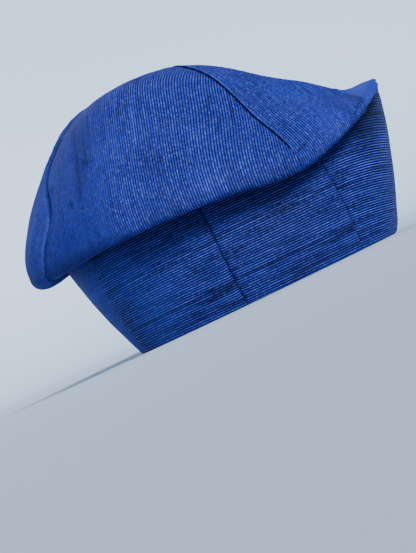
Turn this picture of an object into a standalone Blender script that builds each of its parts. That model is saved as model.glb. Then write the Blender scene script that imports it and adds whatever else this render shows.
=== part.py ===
# Soft ribbed cap: a flared band of six upright strips under a crown of four gores.
# The wearer faces +X, +Z is up, and the crown slouches to the wearer's right (-Y) and to the back.
# Sizes are in millimetres; the meshes are written in metres.

import bpy
import numpy as np

MM = 0.001

# Band: a cone from an oval rim on Z = 0 up to a wider oval. The rim fits a head 58 cm round.
RIM_HALF_LENGTH = 101.5
RIM_HALF_WIDTH = 82.5
CONE_HEIGHT = 105.0
CONE_FRONT = 134.6
CONE_BACK = 131.0
CONE_HALF_WIDTH = 109.0
BAND_WALL = 2.6
# The strips swell outwards between the rim and the top edge, and stop this share short of the top.
BAND_SWELL = 3.4
SWELL_STOPS = 0.12

# Crown: every section starts at the band's top edge and ends at the apex, where the four gores meet.
APEX_X = -6.0
APEX_Y = 12.0
APEX_Z = 178.5
CROWN_WALL = 1.8
APEX_HOLE = 1.3
SEAM_GAP = 0.4
EDGE_STEP_OUT = 1.45
EDGE_STEP_DOWN = 1.0

# One row per section of the crown, by its azimuth round the apex in degrees:
# 0 is the front, 90 the wearer's right, 180 the back and 270 the wearer's left.
#   edge_z: height of the band's top edge, where the crown is sewn on
#   fold_out, fold_z, roll: the overhanging fold's centre, outwards of that edge, its height, its radius
#   low_out, low_z: a point of the outer cloth just above the fold
#   z80, z55, z28: the outer cloth's height at 80, 55 and 28 per cent of the edge's distance from the apex
SECTION_COLUMNS = ("azimuth", "edge_z", "fold_out", "fold_z", "roll", "low_out", "low_z", "z80", "z55", "z28")
SECTIONS = (
    (0, 100.0, -2.0, 101.3, 2.5, -14.0, 104.6, 104.0, 122.5, 155.0),
    (12, 100.0, -0.5, 101.4, 2.5, -8.0, 105.4, 105.6, 127.6, 158.0),
    (25, 98.5, 4.8, 97.6, 2.6, -2.5, 100.9, 110.6, 138.0, 165.5),
    (45, 88.0, 10.3, 79.2, 2.2, 6.0, 88.0, 113.6, 145.4, 169.6),
    (65, 81.0, 12.8, 65.7, 2.2, 7.5, 79.0, 112.0, 150.5, 172.5),
    (90, 81.0, 19.3, 70.2, 2.2, 15.0, 87.0, 131.0, 162.0, 175.0),
    (120, 84.0, 22.3, 74.7, 2.7, 20.0, 91.0, 143.5, 169.3, 177.4),
    (150, 90.0, 19.5, 76.5, 5.0, 21.5, 95.0, 149.5, 171.9, 178.0),
    (180, 96.0, 12.0, 82.5, 9.0, 17.0, 99.5, 153.0, 169.4, 176.2),
    (210, 100.0, 9.5, 91.0, 7.0, 13.5, 108.0, 148.0, 163.0, 174.5),
    (240, 101.5, 7.0, 98.5, 5.0, 8.5, 111.5, 141.5, 158.0, 172.0),
    (270, 102.0, 5.0, 101.5, 3.5, 5.0, 110.0, 133.0, 152.0, 170.0),
    (300, 102.0, 4.0, 102.2, 3.0, 1.0, 108.5, 122.0, 142.0, 166.0),
    (335, 101.0, 0.8, 102.2, 2.6, -7.0, 106.2, 110.5, 127.5, 158.0),
)

# One row per crown seam. Columns: its azimuth at the apex, at the fold, how far it bows forward between
# them, and the gore that follows it.
GORES = (
    (57.0, 66.5, 0.0, "crown_gore_right"),
    (163.5, 150.0, 9.5, "crown_gore_back"),
    (242.0, 242.0, 0.0, "crown_gore_left"),
    (334.0, 334.0, 0.0, "crown_gore_front"),
)

# One row per band seam. Columns: its azimuth at the rim, at the top, and the strip that follows it.
STRIPS = (
    (46.0, 54.5, "band_side_right"),
    (98.5, 97.0, "band_back_right"),
    (177.0, 177.0, "band_back_left"),
    (236.0, 234.0, "band_side_left"),
    (290.0, 288.0, "band_front_left"),
    (345.0, 344.0, "band_front_right"),
)

# Faces across a gore, and along its underside, its fold and its top; faces across a strip and up it.
GORE_STEPS = 14
UNDER_STEPS = 3
ROLL_STEPS = 5
TOP_STEPS = 19
STRIP_STEPS = 9
STRIP_ROWS = 6
# Up to this share of its rows from the band, a crown seam keeps its azimuth at the fold.
SEAM_TURNS_FROM = 0.25
# The bow ends at this share of the way from the fold to the apex.
BOW_ENDS = 0.46
# A small turn in radians each way, to measure how the cloth faces.
BESIDE = 0.03
SPLINE_STEPS = 16
CONE_TRIES = 12

CROWN_BLUE = (0.024, 0.075, 0.290)
BAND_BLUE = (0.020, 0.060, 0.240)


def round_table(azimuth):
    """Every column of SECTIONS at these azimuths (radians), by a periodic cubic that keeps its slopes."""
    table = np.array(SECTIONS)
    knots = np.radians(table[:, 0])
    knots = np.concatenate([knots[-1:] - 2 * np.pi, knots, knots[:2] + 2 * np.pi])
    values = np.concatenate([table[-1:], table, table[:2]])
    span = np.diff(knots)[:, None]
    rise = np.diff(values, axis=0) / span
    slope = np.zeros_like(values)
    slope[1:-1] = (rise[:-1] * span[1:] + rise[1:] * span[:-1]) / (span[:-1] + span[1:])
    at = np.mod(azimuth, 2 * np.pi)
    k = np.clip(np.searchsorted(knots, at, side="right") - 1, 1, len(knots) - 3)
    width = knots[k + 1] - knots[k]
    t = ((at - knots[k]) / width)[..., None]
    width = width[..., None]
    found = (2 * t**3 - 3 * t**2 + 1) * values[k] + (t**3 - 2 * t**2 + t) * width * slope[k]
    found += (3 * t**2 - 2 * t**3) * values[k + 1] + (t**3 - t**2) * width * slope[k + 1]
    return {name: found[..., i] for i, name in enumerate(SECTION_COLUMNS)}


def cone_radius(azimuth, z):
    """Distance from the apex's axis to the band's outer face, along this azimuth at this height."""
    along_x, along_y = np.cos(azimuth), -np.sin(azimuth)
    t = z / CONE_HEIGHT
    width = RIM_HALF_WIDTH + (CONE_HALF_WIDTH - RIM_HALF_WIDTH) * t
    radius = np.full(np.broadcast(azimuth, z).shape, 110.0)
    for _ in range(CONE_TRIES):
        x, y = APEX_X + radius * along_x, APEX_Y + radius * along_y
        ends = np.where(x > 0, CONE_FRONT, CONE_BACK)
        length = RIM_HALF_LENGTH + (ends - RIM_HALF_LENGTH) * t
        miss = (x / length) ** 2 + (y / width) ** 2 - 1
        radius = radius - miss / (2 * (x * along_x / length**2 + y * along_y / width**2))
    return radius


def through(points, count):
    """Points spaced evenly along a centripetal spline from the second to the last but one of these."""
    gaps = np.sqrt(np.linalg.norm(np.diff(points, axis=0), axis=-1)) + 1e-6
    knots = np.concatenate([np.zeros((1, points.shape[1])), np.cumsum(gaps, axis=0)])
    line = []
    for i in range(1, len(points) - 2):
        p, k = points[i - 1 : i + 3], knots[i - 1 : i + 3]
        for s in np.linspace(0, 1, SPLINE_STEPS, endpoint=i == len(points) - 3):
            at = (k[1] + s * (k[2] - k[1]))[:, None]
            k0, k1, k2, k3 = (row[:, None] for row in k)
            a1 = ((k1 - at) * p[0] + (at - k0) * p[1]) / (k1 - k0)
            a2 = ((k2 - at) * p[1] + (at - k1) * p[2]) / (k2 - k1)
            a3 = ((k3 - at) * p[2] + (at - k2) * p[3]) / (k3 - k2)
            b1 = ((k2 - at) * a1 + (at - k0) * a2) / (k2 - k0)
            b2 = ((k3 - at) * a2 + (at - k1) * a3) / (k3 - k1)
            line.append(((k2 - at) * b1 + (at - k1) * b2) / (k2 - k1))
    line = np.array(line)
    run = np.linalg.norm(np.diff(line, axis=0), axis=-1)
    run = np.concatenate([np.zeros((1, points.shape[1])), np.cumsum(run, axis=0)])
    share = np.linspace(0, 1, count)
    out = np.empty((count, points.shape[1], 2))
    for j in range(points.shape[1]):
        for axis in (0, 1):
            out[:, j, axis] = np.interp(share * run[-1, j], run[:, j], line[:, j, axis])
    return out


def sections(azimuth):
    """Middle line of the crown's cloth at each azimuth, as (row, azimuth, (radius, z)).

    It leaves the band's edge on a straight underside that touches the fold's circle, goes round the
    circle, and leaves it towards the low point; a spline carries it on to the apex.
    """
    row = round_table(azimuth)
    edge = cone_radius(azimuth, row["edge_z"])
    start = np.stack([edge + EDGE_STEP_OUT, row["edge_z"] - EDGE_STEP_DOWN], -1)
    centre = np.stack([edge + row["fold_out"], row["fold_z"]], -1)
    low = np.stack([edge + row["low_out"], row["low_z"]], -1)
    inward, onward = centre - start, low - centre
    far_in, far_on = np.linalg.norm(inward, axis=-1), np.linalg.norm(onward, axis=-1)
    roll = np.minimum(row["roll"], 0.9 * np.minimum(far_in, far_on))
    enter = np.arctan2(inward[:, 1], inward[:, 0]) - np.arcsin(roll / far_in)
    leave = np.arctan2(onward[:, 1], onward[:, 0]) + np.arcsin(roll / far_on)
    leave = np.where(leave < enter, leave + 2 * np.pi, leave)
    turn = enter + (leave - enter) * np.linspace(0, 1, ROLL_STEPS + 1)[:, None]
    arc = centre + roll[:, None] * np.stack([np.sin(turn), -np.cos(turn)], -1)
    under = start + (arc[0] - start) * np.linspace(0, 1, UNDER_STEPS + 1)[:, None, None]
    opposite = round_table(azimuth + np.pi)
    across = cone_radius(azimuth + np.pi, opposite["edge_z"])
    stops = [arc[-2], arc[-1], low]
    for share, name in ((0.80, "z80"), (0.55, "z55"), (0.28, "z28")):
        stops.append(np.stack([share * edge, row[name]], -1))
    stops.append(np.stack([0 * edge, APEX_Z + 0 * edge], -1))
    stops.append(np.stack([-0.28 * across, opposite["z28"]], -1))
    top = through(np.array(stops), TOP_STEPS + 1)
    return np.concatenate([under[:-1], arc[:-1], top])


def crown_points(azimuth, row):
    """Points of the crown's middle surface, at one row of the sections and an azimuth for each column."""
    flat = sections(azimuth.ravel()).reshape(-1, *azimuth.shape, 2)
    rows = np.arange(azimuth.shape[0])[:, None]
    r, z = flat[row[rows, 0], rows, np.arange(azimuth.shape[1])].transpose(2, 0, 1)
    r = np.maximum(r, APEX_HOLE)
    return np.stack([APEX_X + r * np.cos(azimuth), APEX_Y - r * np.sin(azimuth), z], -1)


def outward(grid, beside):
    """Unit outward normals of a grid of points, from the same grid turned a little each way and its rows."""
    normal = np.cross(np.gradient(grid, axis=0), beside[1] - beside[0])
    return normal / np.linalg.norm(normal, axis=-1, keepdims=True)


def wall(inner, outer):
    """Vertices and faces of a closed solid between two grids of the same shape."""
    rows, columns = inner.shape[:2]
    index = np.arange(rows * columns).reshape(rows, columns)
    far = index + rows * columns
    quads = []

    def sheet(grid, flip):
        a, b, c, d = grid[:-1, :-1], grid[:-1, 1:], grid[1:, 1:], grid[1:, :-1]
        corners = (a, d, c, b) if flip else (a, b, c, d)
        quads.append(np.stack([corner.ravel() for corner in corners], -1))

    sheet(index, False)
    sheet(far, True)
    sheet(np.stack([far[0], index[0]]), False)
    sheet(np.stack([index[-1], far[-1]]), False)
    sheet(np.stack([far[:, 0], index[:, 0]], 1), False)
    sheet(np.stack([index[:, -1], far[:, -1]], 1), False)
    return np.concatenate([inner.reshape(-1, 3), outer.reshape(-1, 3)]), np.concatenate(quads)


def gore(first, second):
    """One crown gore between two rows of GORES, its side faces half a gap short of the seams."""
    count = UNDER_STEPS + ROLL_STEPS + TOP_STEPS + 1
    share = np.linspace(0, 1, count)
    up = np.clip((share - SEAM_TURNS_FROM) / (1 - SEAM_TURNS_FROM), 0, 1)
    bent = np.minimum(up / BOW_ENDS, 1)
    bent = 16 * (bent * (1 - bent)) ** 2
    span = [np.radians(s[1] + (s[0] - s[1]) * up - s[2] * bent) for s in (first, second)]
    if span[1][0] < span[0][0]:
        span[1] = span[1] + 2 * np.pi
    row = np.repeat(np.arange(count)[:, None], GORE_STEPS + 1, axis=1)
    across = np.linspace(0, 1, GORE_STEPS + 1)
    azimuth = span[0][:, None] * (1 - across) + span[1][:, None] * across
    plain = crown_points(azimuth, row)
    radius = np.linalg.norm(plain[..., :2] - (APEX_X, APEX_Y), axis=-1)
    trim = np.arcsin(np.minimum(SEAM_GAP / 2 / radius, 0.9))
    azimuth = azimuth + trim * (1 - 2 * across)
    middle = crown_points(azimuth, row)
    normal = outward(middle, [crown_points(azimuth + turn, row) for turn in (-BESIDE, BESIDE)])
    half = CROWN_WALL / 2
    return wall(middle - half * normal, middle + half * normal)


def strip(first, second):
    """One upright strip of the band between two rows of STRIPS."""
    level = np.linspace(0, 1, STRIP_ROWS + 1)[:, None]
    across = np.linspace(0, 1, STRIP_STEPS + 1)
    start = np.radians(first[0] + (first[1] - first[0]) * level)
    end = np.radians(second[0] + (second[1] - second[0]) * level)
    end = np.where(end < start, end + 2 * np.pi, end)
    azimuth = start * (1 - across) + end * across
    radius = cone_radius(azimuth, 0 * azimuth)
    azimuth = azimuth + np.arcsin(SEAM_GAP / 2 / radius) * (1 - 2 * across)
    z = level * round_table(azimuth)["edge_z"]
    stop = np.clip((1 - level) / SWELL_STOPS, 0, 1)
    swell = BAND_SWELL * 4 * level * (1 - level) * stop**2 * (3 - 2 * stop)
    radius = cone_radius(azimuth, z) + swell
    ends = [radius - BAND_WALL, radius]
    grids = [
        np.stack([APEX_X + r * np.cos(azimuth), APEX_Y - r * np.sin(azimuth), z], -1) for r in ends
    ]
    return wall(*grids)


def cloth(name, colour):
    """Woven cotton: rough, with no shine of its own."""
    material = bpy.data.materials.new(name)
    material.use_nodes = True
    shader = material.node_tree.nodes["Principled BSDF"]
    shader.inputs["Base Color"].default_value = (*colour, 1.0)
    shader.inputs["Roughness"].default_value = 0.85
    material.diffuse_color = (*colour, 1.0)
    return material


def add_object(name, points, faces, material):
    mesh = bpy.data.meshes.new(name)
    mesh.from_pydata((points * MM).tolist(), [], faces.tolist())
    mesh.validate()
    mesh.shade_smooth()
    mesh.materials.append(material)
    bpy.context.scene.collection.objects.link(bpy.data.objects.new(name, mesh))


def main():
    for old in list(bpy.data.objects):
        bpy.data.objects.remove(old, do_unlink=True)
    pieces = []
    crown_cloth = cloth("ribbed_cotton_crown", CROWN_BLUE)
    band_cloth = cloth("ribbed_cotton_band", BAND_BLUE)
    for rows, build, material in ((GORES, gore, crown_cloth), (STRIPS, strip, band_cloth)):
        for first, second in zip(rows, rows[1:] + rows[:1]):
            points, faces = build(first, second)
            pieces.append((first[-1], points, faces, material))
    every = np.concatenate([points for _, points, _, _ in pieces])
    low, high = every.min(axis=0), every.max(axis=0)
    origin = np.array([(low[0] + high[0]) / 2, (low[1] + high[1]) / 2, low[2]])
    for name, points, faces, material in pieces:
        add_object(name, points - origin, faces, material)
    print("origin moved by", np.round(-origin, 3), "size", np.round(high - low, 2))


main()
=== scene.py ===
import bpy
import numpy as np
from mathutils import Matrix, Vector


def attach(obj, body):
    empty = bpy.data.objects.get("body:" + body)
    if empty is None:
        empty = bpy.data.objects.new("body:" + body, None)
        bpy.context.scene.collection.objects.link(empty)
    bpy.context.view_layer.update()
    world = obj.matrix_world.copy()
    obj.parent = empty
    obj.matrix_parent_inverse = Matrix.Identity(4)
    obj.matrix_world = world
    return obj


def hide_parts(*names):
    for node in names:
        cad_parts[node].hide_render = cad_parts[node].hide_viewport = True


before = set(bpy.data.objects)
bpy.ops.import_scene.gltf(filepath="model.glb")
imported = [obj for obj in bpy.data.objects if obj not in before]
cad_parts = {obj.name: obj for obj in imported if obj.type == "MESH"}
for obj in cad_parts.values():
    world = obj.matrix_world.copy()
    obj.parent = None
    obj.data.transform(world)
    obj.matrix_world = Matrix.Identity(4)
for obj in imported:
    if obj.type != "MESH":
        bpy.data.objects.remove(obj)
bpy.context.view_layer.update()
mm = 0.001

# The hat's own frame, in millimetres: +X is the front, +Z up, and azimuth 0 is the front, 90 the
# right as worn (-Y), 180 the back and 270 the left, seen from the apex. origin is that frame's place.
# The band's outer face is a cone with an oval rim, given by its half sizes there and at coneHeight.
# The crown's cloth starts lap away from the band's edge, and a fold's radius is at most tightestRoll
# of the way to its neighbours.
hat = {
    "origin": (7.596, 4.032, 0.0),
    "apex": (-6.0, 12.0, 178.5),
    "rimHalfLength": 101.5,
    "rimHalfWidth": 82.5,
    "coneHeight": 105.0,
    "coneFront": 134.6,
    "coneBack": 131.0,
    "coneHalfWidth": 109.0,
    "bandWall": 2.6,
    "crownWall": 1.8,
    "lap": 1.76,
    "leastLapTurn": -35.0,
    "tightestRoll": 0.9,
}

# One row per section of the crown: the height of the band's edge; the way from that edge to where
# the cloth starts, in degrees up from straight out (lapTurn); the fold's centre, out from the edge
# and up, and its radius; a low point of the cloth above the fold, out and up; and the cloth's
# height at three shares of the way from the apex to the edge.
sectionColumns = (
    "azimuth", "edgeZ", "lapTurn", "foldOut", "foldZ", "roll", "lowOut", "lowZ", "z80", "z55", "z28",
)
sectionRows = (
    (0, 103.0, 125.0, -4.5, 104.4, 2.0, -14.0, 106.2, 104.8, 122.5, 155.0),
    (12, 101.5, 90.0, -3.5, 102.9, 2.0, -9.5, 105.7, 105.6, 127.6, 158.0),
    (25, 98.5, -35.0, 4.0, 97.6, 2.6, -18.0, 100.3, 111.6, 137.4, 165.8),
    (45, 88.0, -35.0, 10.3, 79.2, 2.2, 6.0, 88.0, 113.6, 145.4, 169.6),
    (65, 81.0, -35.0, 12.8, 65.7, 2.2, 7.5, 79.0, 112.0, 150.5, 172.5),
    (90, 81.0, -35.0, 19.3, 70.2, 2.2, 15.0, 87.0, 131.0, 162.0, 175.0),
    (120, 84.0, -35.0, 22.3, 74.7, 2.7, 20.0, 91.0, 143.5, 169.3, 177.4),
    (150, 90.0, -35.0, 19.5, 76.5, 5.0, 21.5, 95.0, 149.5, 171.9, 178.0),
    (180, 96.0, -35.0, 12.0, 82.5, 9.0, 17.0, 99.5, 153.0, 169.4, 176.2),
    (210, 100.0, -35.0, 9.5, 91.0, 7.0, 13.5, 108.0, 148.0, 163.0, 174.5),
    (240, 101.5, -35.0, 7.0, 98.5, 5.0, 8.5, 111.5, 141.5, 158.0, 172.0),
    (270, 102.0, -35.0, 5.0, 101.5, 3.5, 5.0, 110.0, 133.0, 152.0, 170.0),
    (300, 102.0, -35.0, 4.0, 102.2, 3.0, 1.0, 108.5, 122.0, 142.0, 166.0),
    (335, 101.0, -35.0, 0.8, 102.2, 2.6, -7.0, 106.2, 110.5, 127.5, 158.0),
)
roofShares = {"z80": 0.80, "z55": 0.55, "z28": 0.28}

# The crown's table: samples round, and rows on the roof, on the fold and on the underside.
azimuthSteps = 360
topRows, rollRows, underRows = 160, 20, 8
foldRow = topRows + rollRows
lastRow = foldRow + underRows
rowStops = (0, topRows, foldRow, lastRow)


def roundTable(azimuth):
    # Every column at these azimuths in radians: a periodic cubic through the rows that keeps slopes.
    table = np.array(sectionRows)
    knots = np.radians(table[:, 0])
    knots = np.concatenate([knots[-1:] - 2 * np.pi, knots, knots[:2] + 2 * np.pi])
    values = np.concatenate([table[-1:], table, table[:2]])
    span = np.diff(knots)[:, None]
    rise = np.diff(values, axis=0) / span
    slope = np.zeros_like(values)
    slope[1:-1] = (rise[:-1] * span[1:] + rise[1:] * span[:-1]) / (span[:-1] + span[1:])
    at = np.mod(azimuth, 2 * np.pi)
    k = np.clip(np.searchsorted(knots, at, side="right") - 1, 1, len(knots) - 3)
    width = knots[k + 1] - knots[k]
    t = ((at - knots[k]) / width)[..., None]
    width = width[..., None]
    found = (2 * t**3 - 3 * t**2 + 1) * values[k] + (t**3 - 2 * t**2 + t) * width * slope[k]
    found += (3 * t**2 - 2 * t**3) * values[k + 1] + (t**3 - t**2) * width * slope[k + 1]
    return {name: found[..., i] for i, name in enumerate(sectionColumns)}


def coneRadius(azimuth, z):
    # Distance from the apex's axis to the band's outer face: a guess that is corrected, time after
    # time, by how far it misses the oval at that height over how fast the miss grows.
    firstGuess, corrections = 110.0, 12
    alongX, alongY = np.cos(azimuth), -np.sin(azimuth)
    t = z / hat["coneHeight"]
    width = hat["rimHalfWidth"] + (hat["coneHalfWidth"] - hat["rimHalfWidth"]) * t
    radius = np.full(np.broadcast(azimuth, z).shape, firstGuess)
    for _ in range(corrections):
        x, y = hat["apex"][0] + radius * alongX, hat["apex"][1] + radius * alongY
        ends = np.where(x > 0, hat["coneFront"], hat["coneBack"])
        length = hat["rimHalfLength"] + (ends - hat["rimHalfLength"]) * t
        miss = (x / length) ** 2 + (y / width) ** 2 - 1
        radius = radius - miss / (2 * (x * alongX / length**2 + y * alongY / width**2))
    return radius


def roundApex(radius, azimuth, z):
    # Points at this distance from the apex's axis, by azimuth and height.
    x, y = hat["apex"][0] + radius * np.cos(azimuth), hat["apex"][1] - radius * np.sin(azimuth)
    return np.stack([x, y, z], -1)


def through(points, count):
    # Evenly spaced points on a centripetal spline from the second to the last but one of these: its
    # four nearest points are mixed in pairs, then in pairs of pairs, by how far off their knots are.
    samples = 40
    gaps = np.sqrt(np.linalg.norm(np.diff(points, axis=0), axis=-1)) + 1e-6
    knots = np.concatenate([np.zeros((1, points.shape[1])), np.cumsum(gaps, axis=0)])
    line = []
    for i in range(1, len(points) - 2):
        p, k = points[i - 1 : i + 3], knots[i - 1 : i + 3, :, None]
        for s in np.linspace(0, 1, samples, endpoint=i == len(points) - 3):
            at, mixed = k[1] + s * (k[2] - k[1]), p
            for gap in (1, 2):
                pairs = zip(mixed, mixed[1:], k, k[gap:])
                mixed = [((high - at) * a + (at - low) * b) / (high - low) for a, b, low, high in pairs]
            line.append(((k[2] - at) * mixed[0] + (at - k[1]) * mixed[1]) / (k[2] - k[1]))
    line = np.array(line)
    run = np.linalg.norm(np.diff(line, axis=0), axis=-1)
    run = np.concatenate([np.zeros((1, points.shape[1])), np.cumsum(run, axis=0)])
    share = np.linspace(0, 1, count)
    out = np.empty((count, points.shape[1], 2))
    for j in range(points.shape[1]):
        for axis in (0, 1):
            out[:, j, axis] = np.interp(share * run[-1, j], run[:, j], line[:, j, axis])
    return out


def sections(azimuth):
    # The crown's middle line as (radius, z), apex first: the roof, then the fold's arc, then the
    # straight underside back to the band's edge. Also the length run at the end of each of the three.
    row = roundTable(azimuth)
    edge = coneRadius(azimuth, row["edgeZ"])
    lapTurn = np.radians(np.maximum(row["lapTurn"], hat["leastLapTurn"]))
    start = np.stack([edge + hat["lap"] * np.cos(lapTurn), row["edgeZ"] + hat["lap"] * np.sin(lapTurn)], -1)
    centre = np.stack([edge + row["foldOut"], row["foldZ"]], -1)
    low = np.stack([edge + row["lowOut"], row["lowZ"]], -1)
    inward, onward = centre - start, low - centre
    farIn, farOn = np.linalg.norm(inward, axis=-1), np.linalg.norm(onward, axis=-1)
    roll = np.minimum(row["roll"], hat["tightestRoll"] * np.minimum(farIn, farOn))
    enter = np.arctan2(inward[:, 1], inward[:, 0]) - np.arcsin(roll / farIn)
    leave = np.arctan2(onward[:, 1], onward[:, 0]) + np.arcsin(roll / farOn)
    bend = np.mod(leave - enter, 2 * np.pi)
    turn = enter + bend * np.linspace(0, 1, rollRows + 1)[:, None]
    arc = centre + roll[:, None] * np.stack([np.sin(turn), -np.cos(turn)], -1)
    under = start + (arc[0] - start) * np.linspace(0, 1, underRows + 1)[:, None, None]
    # The roof's spline is led by a point on the arc, a fifth before its end, and by one past the apex.
    before = turn[-1] - 0.2 * bend
    stops = [centre + roll[:, None] * np.stack([np.sin(before), -np.cos(before)], -1), arc[-1], low]
    for name, share in roofShares.items():
        stops.append(np.stack([share * edge, row[name]], -1))
    stops.append(np.stack([0 * edge, hat["apex"][2] + 0 * edge], -1))
    opposite = roundTable(azimuth + np.pi)
    across = coneRadius(azimuth + np.pi, opposite["edgeZ"])
    stops.append(np.stack([-roofShares["z28"] * across, opposite["z28"]], -1))
    top = through(np.array(stops), topRows + 1)
    line = np.concatenate([under[:-1], arc[:-1], top])[::-1]
    steps = np.linalg.norm(np.diff(line, axis=0), axis=-1)
    parts = (steps[:topRows], steps[topRows:foldRow], steps[foldRow:])
    return line, np.cumsum([part.sum(axis=0) for part in parts], axis=0)


def spline(before, first, second, after, t):
    # The cubic between the middle two of four even samples that keeps the slopes of its neighbours.
    curve = t * (3 * (first - second) + after - before) + 2 * before - 5 * first + 4 * second - after
    return first + 0.5 * t * (second - before + t * curve)


def cellOf(table, row, azimuth):
    # The whole row and degree just before a place in a table, and how far past them the place is. It
    # stays a hair inside the last row.
    row = np.clip(row, 0, len(table) - 1.000001)
    column = np.degrees(azimuth)
    i, j = np.floor(row).astype(int), np.floor(column).astype(int)
    return i, j, row - i, column - j


def lookUp(table, row, azimuth):
    # A table of rows by whole degrees, read between its samples by cubics both ways.
    i, j, t, u = cellOf(table, row, azimuth)
    lines = []
    for di in (-1, 0, 1, 2):
        at = np.clip(i + di, 0, len(table) - 1)
        four = (table[at, np.mod(j + dj, azimuthSteps)] for dj in (-1, 0, 1, 2))
        lines.append(spline(*four, u[..., None]))
    return spline(*lines, t[..., None])


def readTwo(table, row, azimuth):
    # The same read straight between neighbours, for one value.
    i, j, t, u = cellOf(table, row, azimuth)
    j, k = np.mod(j, azimuthSteps), np.mod(j + 1, azimuthSteps)
    here, below = ((1 - u) * table[at, j] + u * table[at, k] for at in (i, i + 1))
    return (1 - t) * here + t * below


def evenOut(table):
    # The mean of the neighbouring degrees, weighed by a bell.
    reach, width = 9, 4
    shifts = np.arange(-reach, reach + 1)
    weights = np.exp(-((shifts / width) ** 2))
    return sum(w * np.roll(table, k, axis=1) for w, k in zip(weights / weights.sum(), shifts))


def crownTables():
    # Middle surface of the crown by row and degree: x, y, z and the outward normal, then its radius
    # from the apex's axis, and the lengths run at the ends of the roof, the fold and the underside.
    # The last two are evened out round the crown, so that the cloth can be laid flat without a pleat.
    azimuth = np.radians(np.arange(azimuthSteps))
    line, runs = sections(azimuth)
    points = roundApex(line[..., 0], azimuth, line[..., 1])
    around = np.roll(points, -1, axis=1) - np.roll(points, 1, axis=1)
    normal = np.cross(around, np.gradient(points, axis=0))
    normal[0] = normal[2].mean(axis=0)
    normal /= np.linalg.norm(normal, axis=-1, keepdims=True)
    return np.concatenate([points, normal], -1), evenOut(line[..., 0]), evenOut(runs)


crownTable, crownRadius, crownRuns = crownTables()
print("crown tables", crownTable.shape, "longest section", round(float(crownRuns[2].max()), 1))


def runsAt(azimuth):
    # The lengths run at these azimuths, at the apex and at the end of each part.
    return [0] + [readTwo(np.stack([run, run]), 0 * azimuth, azimuth) for run in crownRuns]


def carry(value, stops, others):
    # A value on one scale, carried to another: it keeps its share of the way between its two stops.
    parts = []
    for here, after, other, otherAfter in zip(stops, stops[1:], others, others[1:]):
        parts.append(other + (otherAfter - other) * (value - here) / (after - here))
    return np.where(value < stops[1], parts[0], np.where(value < stops[2], parts[1], parts[2]))


def rowAt(run, azimuth):
    # The table's row where this length has run from the apex.
    return carry(run, runsAt(azimuth), rowStops)


# A crown seam is its azimuth at the apex, its azimuth at the fold, and a bow between, in degrees.
# shares is how much of the way up it has come at the apex and at the ends of the roof, the fold and
# the underside. It stays at the fold's azimuth up to holds, and bows from there to bowEnds.
seamLine = {"shares": (1, 8 / 27, 3 / 27, 0), "holds": 0.25, "bowEnds": 0.46}


def seamAzimuth(seam, row):
    # The azimuth turns evenly with the share, less the bow: a parabola squared, 16 times it so that
    # it peaks at one.
    share = np.interp(row, rowStops, seamLine["shares"])
    sweep = np.clip((share - seamLine["holds"]) / (1 - seamLine["holds"]), 0, 1)
    t = np.clip(sweep / seamLine["bowEnds"], 0, 1)
    return np.radians(seam[1] + (seam[0] - seam[1]) * sweep - seam[2] * 16 * (t * (1 - t)) ** 2)


def flatten(row, azimuth, grain):
    # Flat cloth: a point at this run from the apex, turned from the grain line by the arc between
    # them over the run. Across the cords is x, along them y.
    run = np.maximum(carry(row, rowStops, runsAt(azimuth)), 1e-6)
    radius = readTwo(crownRadius, row, azimuth)
    turn = (azimuth - seamAzimuth(grain, row)) * radius / run
    return run * np.sin(turn), run * np.cos(turn), turn, run


def unflatten(x, y, grain):
    # The row and azimuth of a flat point: the azimuth that its turn asks for is mixed into the last
    # guess time after time. Close to the apex the cloth is flat, and radius and run are the same.
    corrections, trust, nearApex = 14, 0.7, 2
    run, turn = np.hypot(x, y), np.arctan2(x, y)
    azimuth = np.radians(grain[0]) + turn
    for _ in range(corrections):
        row = rowAt(run, azimuth)
        radius = np.where(run < nearApex, run, readTwo(crownRadius, row, azimuth))
        asked = seamAzimuth(grain, row) + turn * run / np.maximum(radius, 1e-6)
        azimuth = (1 - trust) * azimuth + trust * asked
    return rowAt(run, azimuth), azimuth


def bell(value, centre, width):
    # The bell curve: 1 at its centre, and 1/e a width away.
    return np.exp(-(((value - centre) / width) ** 2))


def ease(value, start, end):
    # 0 at start, 1 at end, level beyond either and smooth between; start may be the larger.
    t = np.clip((value - start) / (end - start), 0, 1)
    return t * t * (3 - 2 * t)


# The cloth: one cord of the rib every 1.67 mm, drawn at its real size. A slub is its share of the
# height, its waves along the cord, its turn from cord to cord and whether the seed turns it. Beside
# a seam the cords are flatter.
cloth = {
    "pitch": 1.67,
    "cordHeight": 0.5,
    "slubs": ((0.10, 0, 12.9898, 1), (0.07, 1 / 17, 4.1, 1), (0.05, 1 / 5.3, 2.7, 0)),
    "seamFlat": 0.6,
    "seamFlatWidth": 0.6,
    "uvPerMm": 0.01,
}

# Low swells of slack cloth: the height of each, then the two sines that it is the product of, each
# as waves along x, y and z and the seed's part.
swells = (
    (0.5, (1 / 17, 0, 0.6 / 17, 1), (0, 1 / 21, -1 / 26, 2)),
    (0.3, (1 / 9.5, -1 / 12, 0, 3), (1 / 30, 0, 1 / 8.5, 0)),
    (0.12, (1 / 4.7, 1 / 5.9, 0, 1), (0, -1 / 7, 1 / 4.1, 0)),
)


def cordHeight(across, along, toSeam, seed):
    # A row of half-round cords: the root of one less the square of the place across, times a height
    # that changes from cord to cord and slowly along each one, and is less beside a seam.
    place = across / cloth["pitch"]
    number = np.floor(place)
    inCord = 2 * (place - number) - 1
    height = cloth["cordHeight"] * np.sqrt(np.clip(1 - inCord**2, 0, 1))
    slub = 1
    for share, waves, turn, seeded in cloth["slubs"]:
        slub = slub + share * np.sin(along * waves + number * turn + seeded * seed)
    return height * slub * (1 - cloth["seamFlat"] * np.exp(-toSeam / cloth["seamFlatWidth"]))


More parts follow.
